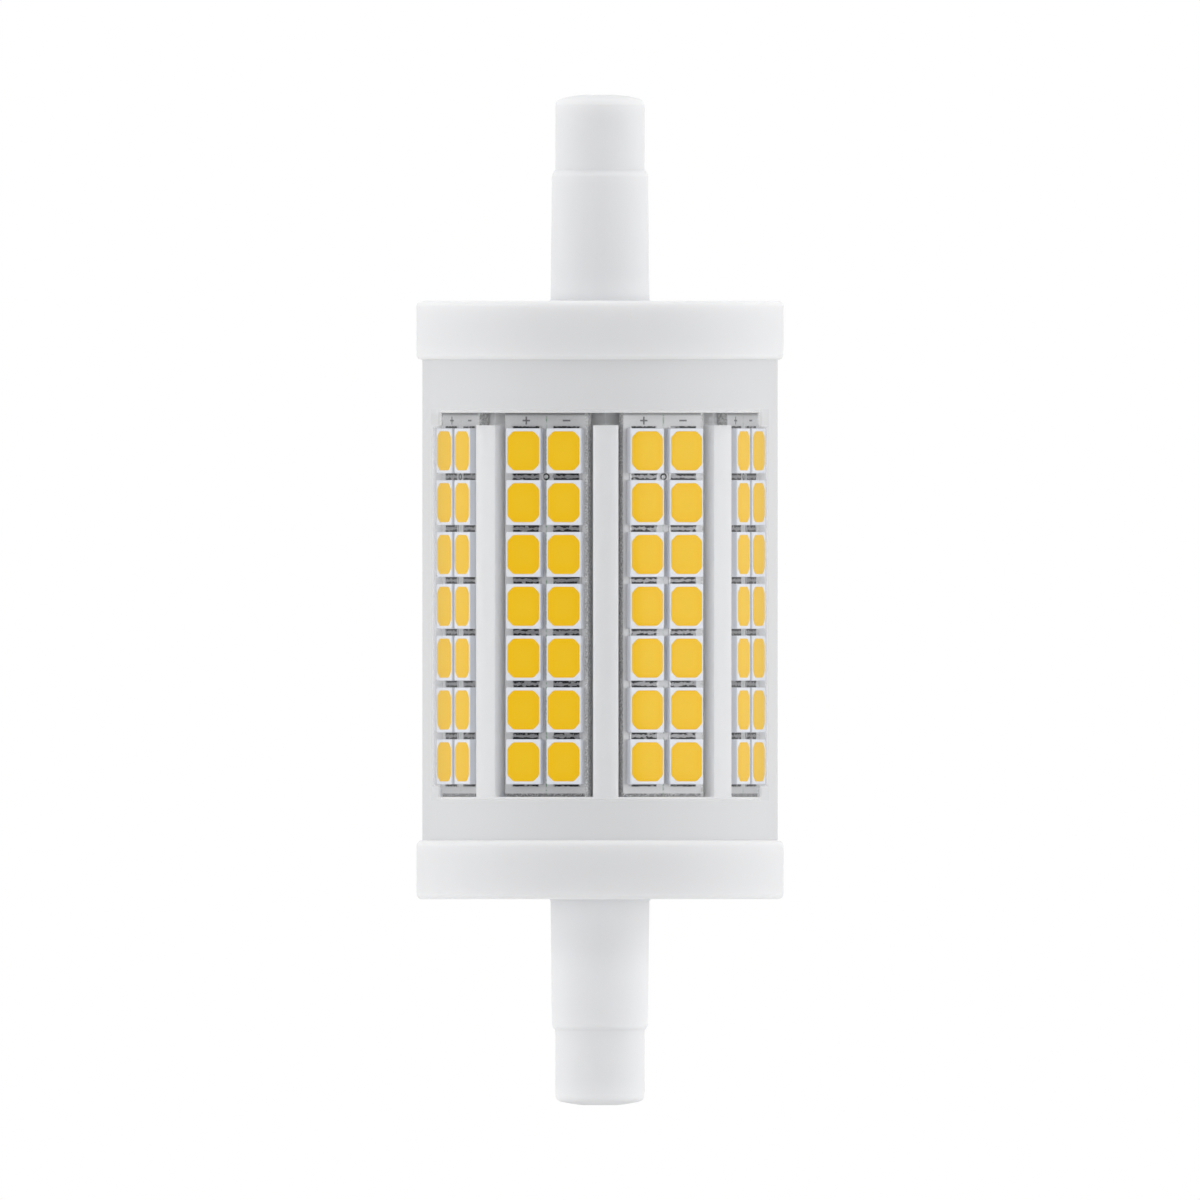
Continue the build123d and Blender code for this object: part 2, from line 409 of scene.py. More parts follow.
def carrier_plastic_white(nodes, finishes):
    """White of the carrier, with painted shade above its ribs, where the collar shades the core."""
    height = nodes.height()
    # Painted shade: the core above the ribs is darkened where the collar's shadow falls
    above_ribs = height.step(RIB_TOP / MM + 0.02, RIB_TOP / MM + 0.2)
    painted_shade_grey = cloudy(nodes, tinted(finishes.plastic, 0.75))
    base = nodes.mix(above_ribs, cloudy(nodes, finishes.plastic), painted_shade_grey)
    moulded(nodes, base, nodes.noise(7, 3), 2.8 * MM)


def turned_away(nodes):
    """How far a surface turns away from the eye: 0 head on, 1 edge on."""
    return nodes.make("ShaderNodeLayerWeight", None, {"Blend": 0.5}, output="Facing")


def see_through(nodes):
    """Clear plastic with a faint tint towards its edges."""
    clear = nodes.make("ShaderNodeBsdfTransparent")
    tinge = nodes.make("ShaderNodeBsdfTransparent", None, {"Color": (0.85, 0.86, 0.88, 1)})
    return nodes.shader_mix(turned_away(nodes).step(0.45, 0.68) * 0.35, clear, tinge)


def clear_bore(nodes, finishes):
    """Inner skin of the clear wall."""
    nodes.surface(see_through(nodes))


def clear_wall(nodes, finishes):
    """Outer skin: a faint gloss head on, milky edge on and beyond the LEDs, and open to the lamps' light."""
    facing = turned_away(nodes)
    lines = nodes.noise(1.6, 2, stretch=(1, 1, 0.02))
    relief = nodes.bump(lines, 0.01 * MM)
    gloss = nodes.make("ShaderNodeBsdfGlossy", None, {"Roughness": 0.15, "Normal": relief})
    wall = nodes.principled(
        base_color=nodes.shades(lines, finishes.haze, 0.995, 1.005),
        roughness=0.42 + 0.05 * lines,
        specular_ior_level=0.04,
    )
    height = nodes.height()
    upper_grip = height.step(COLLAR_Z / MM + 0.1, COLLAR_Z / MM + 0.3)
    lower_grip = 1 - height.step(BOARD_BOTTOM / MM - 0.3, BOARD_BOTTOM / MM - 0.1)
    veil = 0.002 + 0.06 * facing.step(0.2, 0.4) + 0.02 * facing.step(0.2, 0.6)
    edge_on = veil + 0.9 * facing.step(0.62, 0.70)
    above_leds = height.step(LED_BLOCK_TOP / MM, LED_BLOCK_TOP / MM + 0.2)
    below_leds = 1 - height.step(LED_BLOCK_BOTTOM / MM - 0.2, LED_BLOCK_BOTTOM / MM)
    corner = above_leds.larger(below_leds) * facing.step(0.53, 0.6)
    haze = edge_on.larger(0.972 * upper_grip.larger(lower_grip)).larger(0.9 * corner)
    shine = 0.006 + 0.005 * facing.step(0.2, 0.4)
    seen = nodes.shader_mix(haze, nodes.shader_mix(shine, see_through(nodes), gloss), wall)
    shadow = nodes.make("ShaderNodeLightPath", output="Is Shadow Ray")
    bounced = nodes.make("ShaderNodeLightPath", output="Is Diffuse Ray")
    clear = nodes.make("ShaderNodeBsdfTransparent")
    nodes.surface(nodes.shader_mix(shadow.larger(bounced), seen, clear))


def led_package_white(nodes, finishes):
    """White LED moulding with faint specks."""
    specks = nodes.noise(5, 3)
    base = nodes.shades(specks, finishes.package, 0.96, 1.03)
    shader = nodes.principled(
        base_color=base,
        roughness=0.38 + 0.15 * specks,
        specular_ior_level=0.15,
        subsurface_weight=0.2,
        subsurface_radius=(1, 1, 1),
        subsurface_scale=0.3 * MM,
        normal=nodes.bump(specks, 0.006 * MM),
    )
    nodes.surface(shader)


def led_phosphor_fill(nodes, finishes):
    """Silicone with phosphor: paler over the square chip, with fine grains, each LED a little different, and
    a faint painted glow in its own colour.
    """
    across, up = nodes.flat("led")
    from_middle = abs(across).larger(abs(up))
    shade = nodes.make("ShaderNodeAttribute", {"attribute_name": "shade"}, output="Fac")
    grains = nodes.noise(14, 3, 0.6)
    drift = nodes.noise(0.9, 2)
    chip = 1 - from_middle.step(0.2, 0.75)
    paler = chip * 0.5 + grains * 0.25 + drift * 0.3 + shade * 0.3
    base = nodes.mix(paler, finishes.phosphor_rim, finishes.phosphor_middle)
    shader = nodes.principled(
        base_color=base,
        roughness=0.3 + 0.15 * grains,
        specular_ior_level=0.09,
        # Painted glow: a faint emission in the filling's own colour stands in for its fluorescence and keeps
        # the yellow in the shade
        emission_color=base,
        emission_strength=0.1,
        normal=nodes.bump(grains, 0.006 * MM),
    )
    nodes.surface(shader)


def strip_mask(nodes, finishes):
    """White solder mask, greenish between the columns and bare metal along the sawn right edge, with a
    painted shadow under the collar and a dark ragged line along the lower edge, partly the sawn edge and
    partly painted shadow above the ledge.
    """
    across, up = nodes.flat("strip")
    specks = nodes.noise(6, 4, 0.6)
    coarse = nodes.noise(9, 5, 0.75)
    side_edge = BOARD_HALF / MM - 0.2
    low_edge = BOARD_BOTTOM / MM + 0.3
    beside = (across + 0.16 * coarse).step(side_edge, side_edge + 0.06)
    # Dark ragged line along the lower edge: partly the sawn edge, partly painted shadow above the carrier's
    # ledge
    below = (low_edge - up + 0.16 * coarse).step(0.1, 0.16)
    middle = 1 - abs(across).step(0.02, 0.1)
    # Painted shadow of the collar on the strips' top ends
    shaded = up.step(COLLAR_Z / MM - 0.25, COLLAR_Z / MM - 0.1)
    masked = nodes.shades(specks, finishes.mask, 0.9, 1.08)
    masked = nodes.mix(shaded * 0.7, masked, tinted(finishes.mask, 0.3))
    masked = nodes.mix(below * coarse.step(0.3, 0.6), masked, tinted(finishes.mask, 0.2))
    masked = nodes.mix(middle * specks.step(0.45, 0.6), masked, (0.20, 0.30, 0.22))
    metal = nodes.shades(coarse.step(0.35, 0.7), finishes.cut_metal, 0.5, 1.3)
    shader = nodes.principled(
        base_color=nodes.mix(beside, masked, metal),
        metallic=0.08 + 0.04 * beside,
        roughness=0.3 + 0.15 * specks + 0.1 * beside,
        specular_ior_level=0.2,
        normal=nodes.bump(specks * 0.3 - beside * 0.5 + beside * coarse, 0.03 * MM),
    )
    nodes.surface(shader)


def strip_cut_metal(nodes, finishes):
    """Sawn edge of the strip's metal core, coarse and grey."""
    coarse = nodes.noise(7, 5, 0.75)
    base = nodes.shades(coarse.step(0.35, 0.7), finishes.cut_metal, 0.6, 1.7)
    shader = nodes.principled(
        base_color=base,
        metallic=0.1,
        roughness=0.4 + 0.2 * coarse,
        specular_ior_level=0.2,
        normal=nodes.bump(coarse, 0.05 * MM),
    )
    nodes.surface(shader)


def strip_ink(nodes, finishes):
    """Printed marks with a slightly broken surface."""
    specks = nodes.noise(20, 3)
    base = nodes.shades(specks, finishes.ink, 0.8, 1.5)
    nodes.surface(nodes.principled(base_color=base, roughness=0.55 + 0.2 * specks))


def solder(nodes, finishes):
    """Shiny solder: a flat grey middle between dark, uneven lines along the LEDs, which are painted shade
    and reflection standing for the steep fillets at the LEDs' feet.
    """
    along, from_middle = (abs(coordinate) for coordinate in nodes.flat("pad"))
    waves = nodes.noise(3.2, 3, 0.6)
    breaks = nodes.noise(1.7, 2, 0.5)
    grains = nodes.noise(9, 3, 0.7)
    # Painted shade: dark lines along the LEDs' feet stand in for the fillets mirroring dark surroundings and
    # for the LEDs' shade
    edge = (from_middle + 1.8 * waves).step(1.25, 1.4) * breaks.step(0.36, 0.42)
    end = (along + 0.3 * waves).step(1.0, 1.1)
    base = nodes.shades(grains, finishes.solder, 0.6, 1.4)
    base = nodes.mix(end, nodes.mix(edge, base, finishes.solder_fillet_shade), finishes.mask)
    shader = nodes.principled(
        base_color=base,
        metallic=0.3,
        roughness=0.28 + 0.2 * grains,
        specular_ior_level=0.2,
        normal=nodes.bump(grains * 0.4 - edge, 0.02 * MM),
    )
    nodes.surface(shader)


def plated_contact(nodes, finishes):
    """Plated contact with fine rings left by turning."""
    level = nodes.millimetres((1, 1, 0))
    radius = nodes.make("ShaderNodeVectorMath", {"operation": "LENGTH"}, {0: level}, output="Value")
    ringed = {"W": radius, "Scale": 9.0, "Detail": 3.0}
    rings = nodes.make("ShaderNodeTexNoise", {"noise_dimensions": "1D"}, ringed)
    smears = nodes.noise(1.5, 3)
    base = nodes.shades(smears, finishes.contact, 0.85, 1.05)
    shader = nodes.principled(
        base_color=base,
        metallic=1.0,
        roughness=0.2 + 0.15 * rings + 0.1 * smears,
        normal=nodes.bump(rings, 0.01 * MM),
    )
    nodes.surface(shader)


def plain_case(base, roughness, grain_scale, metallic=0.0):
    """Gives a painter for a small part inside the driver: one colour with a fine uneven surface."""

    def paint(nodes, finishes):
        grain = nodes.noise(grain_scale, 4, 0.6)
        shader = nodes.principled(
            base_color=nodes.shades(grain, base, 0.8, 1.15),
            roughness=roughness + 0.15 * grain,
            metallic=metallic,
            normal=nodes.bump(grain, 0.01 * MM),
        )
        nodes.surface(shader)

    return paint


def floor_white(nodes, finishes):
    """Plain pale floor with a barely uneven tone."""
    tone = nodes.noise(0.01, 2)
    base = nodes.mix(tone, (0.83, 0.83, 0.83), (0.85, 0.85, 0.85))
    nodes.surface(nodes.principled(base_color=base, roughness=0.8, specular_ior_level=0))


# Shapes


def add_piece(name, bm, materials, replaced=(), sharp=35):
    """Makes a shape an object of the lamp, in place of the nodes that it stands for."""
    mesh = bpy.data.meshes.new(name)
    bm.to_mesh(mesh)
    bm.free()
    for finish in materials:
        mesh.materials.append(finish)
    mesh.shade_smooth()
    mesh.set_sharp_from_angle(angle=math.radians(sharp))
    piece = bpy.data.objects.new(name, mesh)
    bpy.context.scene.collection.objects.link(piece)
    even = piece.modifiers.new("Even shading", "WEIGHTED_NORMAL")
    even.keep_sharp = True
    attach(piece, BODY)
    if replaced:
        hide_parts(*replaced)
    return piece


def add_to_strip(kind, index, bm, materials, node=None, sharp=35):
    """Brings a shape from a strip's own axes to its place round the lamp, and adds it as a piece."""
    bmesh.ops.transform(bm, matrix=strip_matrix(index), verts=bm.verts)
    number = index + 1
    replaced = [f"{node}_{number}"] if node else []
    add_piece(f"strip_{kind}_{number}", bm, materials, replaced, sharp)


def only(kind, items):
    """The points, the edges or the faces among what an operator made."""
    return [item for item in items if isinstance(item, kind)]


def close_up(bm):
    """Merges the points that meet and turns the faces outwards."""
    bmesh.ops.remove_doubles(bm, verts=bm.verts, dist=MERGE_DISTANCE)
    bmesh.ops.recalc_face_normals(bm, faces=bm.faces)


def nearest(bm, point):
    """The corner of a shape that lies nearest to a point."""
    return min(bm.verts, key=lambda vertex: (vertex.co - point).length)


def cut_corners(bm, corners, size, segments=1):
    """Cuts corners of a flat face, or rounds them in segments, and gives the new corners."""
    made = bmesh.ops.bevel(
        bm, geom=corners, offset=size, affect="VERTICES", segments=segments, profile=0.5, material=-1
    )
    return made["verts"]


def turn(bm, corners, turns):
    """Turns an open outline about the axis. A corner is its radius, height and rounding."""
    points = [Vector((radius, 0, height)) for radius, height, _ in corners]
    bm.faces.new([bm.verts.new(point) for point in points])
    for point, (_, _, rounding) in zip(points, corners):
        if rounding:
            cut_corners(bm, [nearest(bm, point)], rounding, segments=6)
    closing = bm.edges.get((nearest(bm, points[0]), nearest(bm, points[-1])))
    bmesh.ops.delete(bm, geom=bm.faces[:], context="FACES_ONLY")
    bmesh.ops.delete(bm, geom=[closing], context="EDGES")
    outline = bm.verts[:] + bm.edges[:]
    bmesh.ops.spin(
        bm, geom=outline, cent=(0, 0, 0), axis=(0, 0, 1), angle=2 * math.pi, steps=turns, use_merge=True
    )


def ring_edges(bm, radius, height, sides):
    """Edges of a level ring about the axis."""
    level = Matrix.Translation((0, 0, height))
    ring = bmesh.ops.create_circle(bm, segments=sides, radius=radius, matrix=level)
    return list({edge for vertex in ring["verts"] for edge in vertex.link_edges})


def bridge_rings(bm, rings):
    """Walls from ring to ring, each given as radius, height and number of sides."""
    for first, second in zip(rings, rings[1:]):
        bmesh.ops.bridge_loops(bm, edges=ring_edges(bm, *first) + ring_edges(bm, *second))


def add_box(bm, size, middle, rounding=0.0):
    """A box whose upper edges may be cut. Gives the faces of a plain box."""
    matrix = Matrix.Translation(middle) @ Matrix.Diagonal((*size, 1))
    box = bmesh.ops.create_cube(bm, size=1, matrix=matrix)
    if rounding:
        top = middle.z + size[2] / 2
        slack = 0.1 * rounding
        edges = {edge for vertex in box["verts"] for edge in vertex.link_edges}
        upper = [edge for edge in edges if all(top - vertex.co.z < slack for vertex in edge.verts)]
        bmesh.ops.bevel(
            bm, geom=upper, offset=rounding, affect="EDGES", segments=1, profile=0.5, material=-1
        )
        return []
    return list({face for vertex in box["verts"] for face in vertex.link_faces})


def copy_to(bm, places):
    """Puts a copy of the whole shape at each place, and gives each copy's faces."""
    first = bm.verts[:] + bm.edges[:] + bm.faces[:]
    copies = []
    for place in places:
        made = bmesh.ops.duplicate(bm, geom=first)["geom"]
        bmesh.ops.translate(bm, verts=only(bmesh.types.BMVert, made), vec=place)
        copies.append(only(bmesh.types.BMFace, made))
    bmesh.ops.delete(bm, geom=only(bmesh.types.BMVert, first), context="VERTS")
    return copies


def map_flat(bm, name, scale):
    """Lays a strip's own X and Y into a UV map, divided by a scale."""
    layer = bm.loops.layers.uv.new(name)
    for face in bm.faces:
        for loop in face.loops:
            loop[layer].uv = (loop.vert.co.x / scale[0], loop.vert.co.y / scale[1])


def led_places(sizes):
    """Middle of each LED's foot on a strip."""
    column = LED_BLOCK_HALF - sizes.led_width / 2
    lowest = LED_BLOCK_BOTTOM + sizes.led_height / 2
    highest = LED_BLOCK_TOP - sizes.led_height / 2
    pitch = (highest - lowest) / (sizes.rows - 1)
    heights = [lowest + row * pitch for row in range(sizes.rows)]
    return [Vector((x, height, BOARD_FACE)) for height in heights for x in (-column, column)]


def mouth_face(bm, sizes, height, inset=0.0):
    """Flat face with the outline of an LED's mouth: a rectangle with cut and rounded corners."""
    size = (sizes.mouth_width - 2 * inset, sizes.mouth_height - 2 * inset, 1, 1)
    matrix = Matrix.Translation((0, 0, height)) @ Matrix.Diagonal(size)
    corners = bmesh.ops.create_grid(bm, x_segments=1, y_segments=1, size=0.5, matrix=matrix)["verts"]
    cut = cut_corners(bm, corners, sizes.mouth_cut)
    rounded = cut_corners(bm, cut, sizes.mouth_rounding)
    return rounded[0].link_faces[0]


# Operators


class BULB_OT_end_caps(bpy.types.Operator):
    """Turn the two moulded ends with their tips, necks and rims"""

    bl_idname = "bulb.end_caps"
    bl_label = "End caps"

    def dome_z(self, sizes, radius):
        """Height of the domed end at a distance from the axis."""
        at_radius, at_recess = (math.sqrt(sizes.dome_radius**2 - r**2) for r in (radius, RECESS_RADIUS))
        return END_Z + (at_radius - at_recess)

    def outside(self, bm, sizes, tail):
        """Outer skin from the recess in the tip to the seat under the rim, and the corners that follow."""
        tip = sizes.tip_diameter / 2
        shoulder_z = END_Z - sizes.tip_length
        face_z = SEAT_Z + sizes.rim_height
        dome = [RECESS_RADIUS + share * (tip - RECESS_RADIUS) for share in (0.25, 0.5, 0.75)]
        corners = [
            (RECESS_RADIUS, CONTACT_Z, 0),
            (RECESS_RADIUS, END_Z, sizes.recess_rounding),
            *((radius, self.dome_z(sizes, radius), 0) for radius in dome),
            (tip, self.dome_z(sizes, tip), sizes.tip_rounding),
            (tip, shoulder_z + sizes.shoulder_slope / 2, sizes.shoulder_fillet),
            (sizes.neck_top_diameter / 2, shoulder_z - sizes.shoulder_slope / 2, sizes.shoulder_rounding),
            (sizes.neck_root_diameter / 2, face_z, sizes.root_fillet),
            (CAP_RADIUS, face_z, sizes.rim_rounding),
            (CAP_RADIUS, SEAT_Z, sizes.rim_rounding),
            (COLLAR_RADIUS, SEAT_Z, 0),
        ]
        turn(bm, corners + tail, sizes.turns)

    def hollow(self, sizes, first_rings):
        """Rings of the hollow, from the seat to the recess behind the contact."""
        roof_z = SEAT_Z + sizes.rim_height - sizes.roof_thickness
        bore = radii_at("upper_cap", CONTACT_Z)[1]
        radius, _, sides = first_rings[-1]
        return first_rings + [
            (radius, roof_z, sides),
            (bore, roof_z, STRIP_COUNT),
            (bore, CONTACT_Z, STRIP_COUNT),
            (RECESS_RADIUS, CONTACT_Z, sizes.turns),
        ]

    def execute(self, context):
        sizes = context.scene.bulb_caps
        plastic = material(white_plastic)
        upper = bmesh.new()
        collar = [(COLLAR_RADIUS, COLLAR_Z, sizes.collar_rounding), (COLLAR_BORE, COLLAR_Z, 0)]
        self.outside(upper, sizes, collar)
        bridge_rings(upper, self.hollow(sizes, [(COLLAR_BORE, COLLAR_Z, sizes.turns)]))
        close_up(upper)
        add_piece("upper_cap_moulding", upper, [plastic], ["upper_cap"])
        lower = bmesh.new()
        pocket = sizes.pocket_flat / math.cos(STRIP_ANGLE / 2)
        self.outside(lower, sizes, [])
        seat = [(COLLAR_RADIUS, SEAT_Z, sizes.turns), (pocket, SEAT_Z, STRIP_COUNT)]
        bridge_rings(lower, self.hollow(sizes, seat))
        bmesh.ops.rotate(lower, verts=lower.verts, cent=(0, 0, 0), matrix=Matrix.Rotation(math.pi, 3, "X"))
        close_up(lower)
        add_piece("lower_cap_moulding", lower, [plastic], ["lower_cap"])
        return {"FINISHED"}


class BULB_OT_contacts(bpy.types.Operator):
    """Turn the two sunk contacts with their raised middles"""

    bl_idname = "bulb.contacts"
    bl_label = "Contacts"

    def execute(self, context):
        sizes = context.scene.bulb_caps
        turns = sizes.turns
        metal = material(plated_contact)
        dish_z = CONTACT_Z - sizes.contact_dish
        # Edge of the dish, its floor from outside to inside, and the raised middle
        edge, outer, inner, raised = (share * RECESS_RADIUS for share in (0.9, 0.75, 0.5, 0.3))
        # The small hole at the axis is filled at the end
        hole = 0.01 * MM
        rings = [
            (hole, CONTACT_BACK_Z, turns),
            (CONTACT_RADIUS, CONTACT_BACK_Z, STRIP_COUNT),
            (CONTACT_RADIUS, CONTACT_Z, STRIP_COUNT),
            (edge, CONTACT_Z, turns),
            (outer, dish_z, turns),
            (inner, dish_z, turns),
            (raised, CONTACT_Z - sizes.contact_crown, turns),
            (hole, CONTACT_Z, turns),
        ]
        for name, turned_over in (("upper_contact", 0), ("lower_contact", math.pi)):
            bm = bmesh.new()
            bridge_rings(bm, rings)
            bmesh.ops.rotate(bm, verts=bm.verts, cent=(0, 0, 0), matrix=Matrix.Rotation(turned_over, 3, "X"))
            close_up(bm)
            bmesh.ops.holes_fill(bm, edges=bm.edges[:], sides=turns)
            bmesh.ops.recalc_face_normals(bm, faces=bm.faces)
            add_piece(f"{name}_plate", bm, [metal], [name])
        return {"FINISHED"}


class BULB_OT_clear_tube(bpy.types.Operator):
    """Turn the clear tube between the cap rims"""

    bl_idname = "bulb.clear_tube"
    bl_label = "Clear tube"

    def execute(self, context):
        turns = context.scene.bulb_caps.turns
        bm = bmesh.new()
        rings = [(TUBE_RADIUS, -SEAT_Z, turns), (TUBE_RADIUS, SEAT_Z, turns), (TUBE_BORE, SEAT_Z, turns)]
        rings += [(TUBE_BORE, -SEAT_Z, turns), (TUBE_RADIUS, -SEAT_Z, turns)]
        bridge_rings(bm, rings)
        close_up(bm)
        middle = (TUBE_BORE + TUBE_RADIUS) / 2
        for face in bm.faces:
            face.material_index = int(all(vertex.co.xy.length < middle for vertex in face.verts))
        skins = [material(clear_wall), material(clear_bore)]
        add_piece("clear_tube_wall", bm, skins, ["clear_tube"])
        return {"FINISHED"}


class BULB_OT_carrier(bpy.types.Operator):
    """Soften the edges of the ribbed carrier"""

    bl_idname = "bulb.carrier"
    bl_label = "Carrier"

    def execute(self, context):
        bm = bmesh.new()
        bm.from_mesh(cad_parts["led_carrier"].data)
        bmesh.ops.remove_doubles(bm, verts=bm.verts, dist=MERGE_DISTANCE)
        bmesh.ops.dissolve_limit(bm, angle_limit=math.radians(0.5), verts=bm.verts, edges=bm.edges)
        plastic = material(carrier_plastic_white)
        piece = add_piece("led_carrier_moulding", bm, [plastic], ["led_carrier"])
        edges = piece.modifiers.new("Soft edges", "BEVEL")
        edges.width = context.scene.bulb_strips.carrier_rounding
        edges.segments = 4
        edges.limit_method = "ANGLE"
        edges.angle_limit = math.radians(40)
        piece.modifiers.move(1, 0)
        return {"FINISHED"}


class BULB_OT_strip_boards(bpy.types.Operator):
    """Make the strips' boards with sawn edges and plain plus and minus marks"""

    bl_idname = "bulb.strip_boards"
    bl_label = "Strip boards"

    def board(self, sizes):
        bm = bmesh.new()
        size = (2 * BOARD_HALF, BOARD_TOP - BOARD_BOTTOM, BOARD_FACE - BOARD_BACK)
        middle = Vector((0, (BOARD_BOTTOM + BOARD_TOP) / 2, (BOARD_BACK + BOARD_FACE) / 2))
        add_box(bm, size, middle, sizes.board_rounding)
        for face in bm.faces:
            face.material_index = 0 if face.normal.z > 0.5 else 1
        board_faces = set(bm.faces)
        mark_y = (LED_BLOCK_TOP + COLLAR_Z) / 2
        stroke = Vector((sizes.mark_length, sizes.mark_width, sizes.ink_thickness))
        column = LED_BLOCK_HALF - sizes.led_width / 2
        ink_z = BOARD_FACE + sizes.ink_thickness / 2
        for x, size in ((column, stroke), (-column, stroke), (-column, stroke.yxz)):
            add_box(bm, size, Vector((x, mark_y, ink_z)))
        for face in bm.faces:
            if face not in board_faces:
                face.material_index = 2
        map_flat(bm, "strip", (MM, MM))
        return bm

    def execute(self, context):
        finishes = [material(paint) for paint in (strip_mask, strip_cut_metal, strip_ink)]
        for index in range(STRIP_COUNT):
            bm = self.board(context.scene.bulb_strips)
            add_to_strip("board", index, bm, finishes, "led_board")
        return {"FINISHED"}


# The cup narrows by this share towards its floor
CUP_TAPER = (0.9, 0.9, 1)


class BULB_OT_led_packages(bpy.types.Operator):
    """Make the white LED packages with their cupped mouths"""

    bl_idname = "bulb.led_packages"
    bl_label = "LED packages"

    def package(self, sizes):
        """One package on its foot: walls with softened upper edges, a flat rim and a shallow cup."""
        bm = bmesh.new()
        height = LED_RIM - BOARD_FACE
        soft = sizes.package_rounding
        mouth = mouth_face(bm, sizes, height)
        mouth_edges = mouth.edges[:]
        rim = Vector((sizes.led_width - 2 * soft, sizes.led_height - 2 * soft, 1))
        place = Matrix.Translation((0, 0, height)) @ Matrix.Diagonal((*rim, 1))
        corners = bmesh.ops.create_grid(bm, x_segments=1, y_segments=1, size=0.5, matrix=place)["verts"]
        lid = cut_corners(bm, corners, soft)[0].link_faces[0]
        edges = lid.edges[:]
        bmesh.ops.delete(bm, geom=[lid], context="FACES_ONLY")
        bmesh.ops.bridge_loops(bm, edges=mouth_edges + edges)
        widened = (sizes.led_width / rim.x, sizes.led_height / rim.y, 1)
        for stretch, drop in ((widened, soft), ((1, 1, 1), height - soft)):
            grown = bmesh.ops.extrude_edge_only(bm, edges=edges)["geom"]
            foot = only(bmesh.types.BMVert, grown)
            edges = [edge for edge in only(bmesh.types.BMEdge, grown) if set(edge.verts) <= set(foot)]
            bmesh.ops.scale(bm, verts=foot, vec=stretch)
            bmesh.ops.translate(bm, verts=foot, vec=(0, 0, -drop))
        bmesh.ops.contextual_create(bm, geom=foot)
        bmesh.ops.inset_region(bm, faces=[mouth], thickness=0, depth=0)
        bmesh.ops.scale(bm, verts=mouth.verts[:], vec=CUP_TAPER)
        bmesh.ops.translate(bm, verts=mouth.verts[:], vec=(0, 0, -sizes.mouth_depth))
        close_up(bm)
        return bm

    def execute(self, context):
        sizes = context.scene.bulb_strips
        white = material(led_package_white)
        for index in range(STRIP_COUNT):
            bm = self.package(sizes)
            copy_to(bm, led_places(sizes))
            add_to_strip("packages", index, bm, [white], "led_packages", sharp=20)
        return {"FINISHED"}


# Each ring of the filling's crown: its share of the ring before, and its share of the crown's rise
CROWN_RINGS = ((0.94, 0.5), (0.88, 0.35), (0.6, 0.15))


class BULB_OT_led_phosphors(bpy.types.Operator):
    """Fill the LEDs' mouths with slightly crowned phosphor"""

    bl_idname = "bulb.led_phosphors"
    bl_label = "LED phosphors"

    def filling(self, sizes):
        bm = bmesh.new()
        edge_z = LED_RIM - BOARD_FACE - sizes.fill_drop
        crown = LED_CROWN - LED_RIM
        face = mouth_face(bm, sizes, edge_z, sizes.fill_gap)
        skirt = bmesh.ops.extrude_edge_only(bm, edges=face.edges[:])["geom"]
        foot = only(bmesh.types.BMVert, skirt)
        bmesh.ops.translate(bm, verts=foot, vec=(0, 0, -sizes.mouth_depth / 2))
        bmesh.ops.contextual_create(bm, geom=foot)
        for share, rise in CROWN_RINGS:
            bmesh.ops.inset_region(bm, faces=[face], thickness=0, depth=0)
            bmesh.ops.scale(bm, verts=face.verts[:], vec=(share, share, 1))
            bmesh.ops.translate(bm, verts=face.verts[:], vec=(0, 0, rise * crown))
        close_up(bm)
        map_flat(bm, "led", (sizes.led_width / 2, sizes.led_height / 2))
        return bm

    def execute(self, context):
        sizes = context.scene.bulb_strips
        phosphor = material(led_phosphor_fill)
        draw = random.Random(7)
        for index in range(STRIP_COUNT):
            bm = self.filling(sizes)
            shade = bm.faces.layers.float.new("shade")
            for faces in copy_to(bm, led_places(sizes)):
                value = draw.random()
                for face in faces:
                    face[shade] = value
            add_to_strip("phosphors", index, bm, [phosphor], "led_phosphors")
        return {"FINISHED"}


class BULB_OT_solder_joints(bpy.types.Operator):
    """Lay the solder joints above and below each LED and the plated holes"""

    bl_idname = "bulb.solder_joints"
    bl_label = "Solder joints"

    def pads(self, bm, sizes):
        """Pads from LED to LED in each column, and short ones at the column's ends."""
        layer = bm.loops.layers.uv.new("pad")
        places = led_places(sizes)
        gap = places[2].y - places[0].y - sizes.led_height
        for place in places:
            for side in (-1, 1):
                at_end = place in (places[:2] if side < 0 else places[-2:])
                height = sizes.end_pad if at_end else gap / 2
                size = Vector((sizes.pad_width, height, sizes.pad_thickness))
                offset = side * (sizes.led_height + height) / 2
                middle = place + Vector((0, offset, sizes.pad_thickness / 2))
                for face in add_box(bm, size, middle):
                    for loop in face.loops:
                        from_led = abs(loop.vert.co.y - place.y) - sizes.led_height / 2
                        along = (loop.vert.co.x - place.x) / (sizes.pad_width / 2)
                        loop[layer].uv = (along, 1 - from_led / (gap / 2))
        return layer

    def via(self, bm, sizes, layer):
        """Plated hole between the columns, under the top row."""
        places = led_places(sizes)
        under_top_row = (places[-1].y + places[-3].y) / 2
        hole = Matrix.Translation((0, under_top_row, BOARD_FACE + sizes.pad_thickness))
        disc = bmesh.ops.create_circle(bm, cap_ends=True, segments=20, radius=sizes.via_radius, matrix=hole)
        face = disc["verts"][0].link_faces[0]
        rim = bmesh.ops.inset_region(
            bm, faces=[face], use_boundary=True, thickness=sizes.via_rim, depth=0
        )["faces"]
        bmesh.ops.delete(bm, geom=[face], context="FACES")
        for part in rim:
            for loop in part.loops:
                loop[layer].uv = (0, 1)

    def execute(self, context):
        sizes = context.scene.bulb_strips
        metal = material(solder)
        for index in range(STRIP_COUNT):
            bm = bmesh.new()
            layer = self.pads(bm, sizes)
            self.via(bm, sizes, layer)
            add_to_strip("solder", index, bm, [metal])
        return {"FINISHED"}


